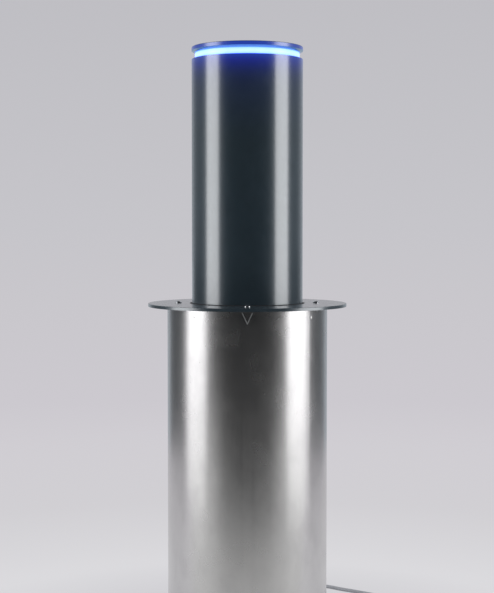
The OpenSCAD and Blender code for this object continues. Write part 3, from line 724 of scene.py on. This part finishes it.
finishes = {build.__name__: build() for build in (
    stainless, zinc_steel, slate_paint, polished_screws, black_paint, dark_steel, cast_aluminium,
    bright_steel, chromed_rod, bronze, rubber_black, acetal, opal, light_strip, black_plastic, sensor_blue,
    grey_sheath,
)}
for part in frame["record"]["subparts"]:
    wear(nodes[part["node"]], finishes[part["material_slot"]])
wear(nodes["cover_flange"], flange_paint())
wear(nodes["head_cap"], cap_paint())
wear(supply_cord, finishes["grey_sheath"])
wear(threaded_screw, finishes["bright_steel"])
wear(curly_lead, finishes["black_plastic"])
wear(mark_line, etched_steel())
bare_copper = copper()
for name, (sleeve, strand) in cores.items():
    wear(sleeve, core_sleeve(name))
    wear(strand, bare_copper)
band = webbing()
for tie in ties:
    wear(tie, band)


# Stage: a pale floor that runs to the horizon, a pale sky, screens that only gloss sees, and soft boxes

def linear(*rgb):
    """A colour written in screen levels, from 0 to 255."""
    return tuple(((c / 255 + 0.055) / 1.055) ** 2.4 for c in rgb)


def seen_rays(tree):
    """1 for rays from the camera, off gloss or through glass."""
    rays = tree.add("LightPath").outputs
    seen = rays["Is Camera Ray"]
    for name in ("Is Glossy Ray", "Is Transmission Ray"):
        seen = tree.maths("MAXIMUM", seen, rays[name])
    return seen


# How far up the bright ceiling begins, as the sine of its angle
CEILING = 0.6


def make_sky():
    """The world lights the object evenly. It shows a grey that darkens upwards, under a bright ceiling."""
    world = bpy.data.worlds.new("world")
    bpy.context.scene.world = world
    tree = Tree(world)
    up = tree.axis(tree.add("TexCoord").outputs["Generated"], "Z")
    tones = tree.ramp(up, (0.0, linear(198, 197, 202)), (CEILING, linear(170, 170, 175)),
                      (CEILING, (0.777, 0.774, 0.789)), (1.0, (1, 1, 1)))
    plain = tree.shader("Background", (0.80, 0.80, 0.82), 0.75)
    shown = tree.shader("Background", tones, 1.0)
    tree.link(tree.mix_shaders(seen_rays(tree), plain, shown), tree.add("OutputWorld").inputs[0])


# The floor's tones lie in rings round the bollard, by RING_SCALE / (distance + RING_START). That is 0 at the
# horizon and 0.308 at the bollard's middle.
RING_SCALE = 0.853
RING_START = 2.77
# Near the bollard a share of the floor is lit, to show a shadow, and far from it none
SHADOW_SHARE = 0.25
SHADOW_NEAR, SHADOW_FAR = 0.5, 3.0
FLOOR_HALF = 200


def floor_material():
    material = bpy.data.materials.new("floor")
    tree = Tree(material)
    length = tree.add("VectorMath")
    length.operation = "LENGTH"
    tree.link(tree.place(), length.inputs[0])
    distance = length.outputs["Value"]
    ring = tree.maths("DIVIDE", RING_SCALE, tree.maths("ADD", distance, RING_START))
    tones = tree.ramp(ring, (0.0, linear(198, 197, 202)), (0.053, linear(201, 199, 204)),
                      (0.125, linear(204, 201, 207)), (0.198, linear(214, 212, 216)),
                      (0.241, linear(228, 227, 230)), (0.262, linear(216, 215, 219)),
                      (0.33, linear(211, 210, 214)))
    lit = tree.shader("BsdfDiffuse", (0.62, 0.62, 0.64))
    toned = tree.shader("Emission", tones, 1.0)
    share = tree.remap(distance, SHADOW_NEAR, SHADOW_FAR, 1 - SHADOW_SHARE, 1.0, smooth=True)
    above = tree.mix_shaders(seen_rays(tree), lit, tree.mix_shaders(share, lit, toned))
    underside = tree.add("NewGeometry").outputs["Backfacing"]
    clear = tree.add("BsdfTransparent").outputs[0]
    tree.link(tree.mix_shaders(underside, above, clear), tree.add("OutputMaterial").inputs[0])
    material.cycles.emission_sampling = "NONE"
    return material


def level(half_width, near, far, height):
    """Corners of a level rectangle."""
    return [(-half_width, near, height), (half_width, near, height),
            (half_width, far, height), (-half_width, far, height)]


def make_floor():
    corners = level(FLOOR_HALF, -FLOOR_HALF, FLOOR_HALF, height=0)
    floor = new_object("floor", mesh_from("floor", corners, [(0, 1, 2, 3)], smooth=False))
    wear(floor, floor_material())


def flag(name, corners, tone, strength_of=None):
    """A screen that only gloss sees. strength_of makes a strength that varies, in the material's tree."""
    material = bpy.data.materials.new(name)
    tree = Tree(material)
    strength = strength_of(tree) if strength_of else 1.0
    tree.link(tree.shader("Emission", tone, strength), tree.add("OutputMaterial").inputs[0])
    material.cycles.emission_sampling = "NONE"
    screen = new_object(name, mesh_from(name, corners, [(0, 1, 2, 3)], smooth=False))
    wear(screen, material)
    screen.visible_camera = False
    screen.visible_diffuse = False
    screen.visible_shadow = False
    screen.visible_transmission = False


def around(azimuth, distance):
    """A place on the floor, by its angle from the camera's side."""
    angle = math.radians(azimuth)
    return distance * math.sin(angle), -distance * math.cos(angle)


def upright(name, start, end, distance, low, high, tone):
    ax, ay = around(start, distance)
    bx, by = around(end, distance)
    flag(name, [(ax, ay, low), (bx, by, low), (bx, by, high), (ax, ay, high)], tone)


# From the lights round to the back, the far screens stand in five bands on each side. Each row gives where a
# band starts and ends, in degrees, and its grey below and above the split.
FAR_DISTANCE = 2.4
FAR_LOW, FAR_SPLIT, FAR_HIGH = 0.05, 0.72, 3.2
FAR_BANDS = {
    "left": ((95, 118, 0.075, 0.160), (118, 130, 0.085, 0.180), (130, 142, 0.160, 0.260),
             (142, 155, 0.470, 0.420), (155, 168, 0.540, 0.430)),
    "right": ((95, 118, 0.090, 0.165), (118, 130, 0.115, 0.200), (130, 142, 0.230, 0.320),
              (142, 155, 0.470, 0.440), (155, 168, 0.500, 0.500)),
}


def far_band(name, start, end, low, high, grey):
    upright(name, start, end, FAR_DISTANCE, low, high, tone=(0.92 * grey, grey, 1.09 * grey))


def dark_floor_strength(tree):
    """The floor in front of the bollard goes dark with distance, in a wedge that opens away from it."""
    dark_from, dark_to = -0.2, -2.4
    wedge_side, wedge_middle = 1.25, 0.45
    pale, dark = 0.66, 0.075
    place = tree.place()
    x = tree.axis(place, "X")
    y = tree.axis(place, "Y")
    forward = tree.remap(y, dark_from, dark_to, 0.0, 1.0, smooth=True)
    slant = tree.maths("ABSOLUTE", tree.maths("DIVIDE", x, y))
    inwards = tree.remap(slant, wedge_side, wedge_middle, 0.0, 1.0, smooth=True)
    return tree.remap(tree.maths("MULTIPLY", forward, inwards), 0.0, 1.0, pale, dark)


def make_flags():
    upright("flag_front", -48, 48, distance=3.9, low=0.0, high=3.6, tone=(0.008, 0.009, 0.010))
    for word, side in (("left", -1), ("right", 1)):
        upright(f"flag_{word}_near", side * 48, side * 57, distance=3.6, low=0.0, high=3.4,
                tone=(0.05, 0.05, 0.052))
        for k, (start, end, low_grey, high_grey) in enumerate(FAR_BANDS[word], 1):
            way = side * start, side * end
            far_band(f"flag_{word}_far_low_{k}", *way, FAR_LOW, FAR_SPLIT, low_grey)
            far_band(f"flag_{word}_far_high_{k}", *way, FAR_SPLIT, FAR_HIGH, high_grey)
    above = level(half_width=2.4, near=-2.4, far=2.4, height=3.3)
    flag("flag_top", above, (0.08, 0.08, 0.082))
    in_front = level(half_width=3, near=-4, far=-0.2, height=0.001)
    flag("dark_floor", in_front, (1, 1, 1), dark_floor_strength)


# Each side's light in three heights: the tube sees the highest, the casing the others. Each row gives where a
# light starts and ends, in degrees, its lower and upper edge, and its glow.
BOX_DISTANCE = 1.7
SIDE_BOXES = {
    "left": ((-59.5, -89.5, 0.60, 1.66, 2.65), (-58.6, -91.0, 0.22, 0.59, 1.10),
             (-59.0, -91.0, 0.01, 0.21, 0.65)),
    "right": ((58.0, 89.5, 0.60, 1.66, 2.75), (55.2, 91.0, 0.22, 0.59, 1.16),
              (57.0, 91.0, 0.01, 0.21, 0.75)),
}


def soft_box(name, wide, tall, power):
    data = bpy.data.lights.new(name, "AREA")
    data.shape = "RECTANGLE"
    data.size = wide
    data.size_y = tall
    data.energy = power
    light = new_object(name, data)
    light.visible_camera = False
    return light


def make_lights():
    for word, rows in SIDE_BOXES.items():
        for k, (start, end, low, high, glow) in enumerate(rows, 1):
            wide = 2 * BOX_DISTANCE * math.tan(math.radians(abs(end - start) / 2))
            box = soft_box(f"box_{word}_{k}", wide, high - low, glow * math.pi * wide * (high - low))
            x, y = around((start + end) / 2, BOX_DISTANCE)
            box.location = (x, y, (low + high) / 2)
            box.rotation_euler = Vector((x, y, 0)).to_track_quat("Z", "Y").to_euler()
    top = soft_box("box_top", wide=1.6, tall=1.6, power=10)
    top.location = (0, 0.2, 3.4)
    top.visible_glossy = False


make_sky()
make_floor()
make_flags()
make_lights()

bpy.context.view_layer.update()
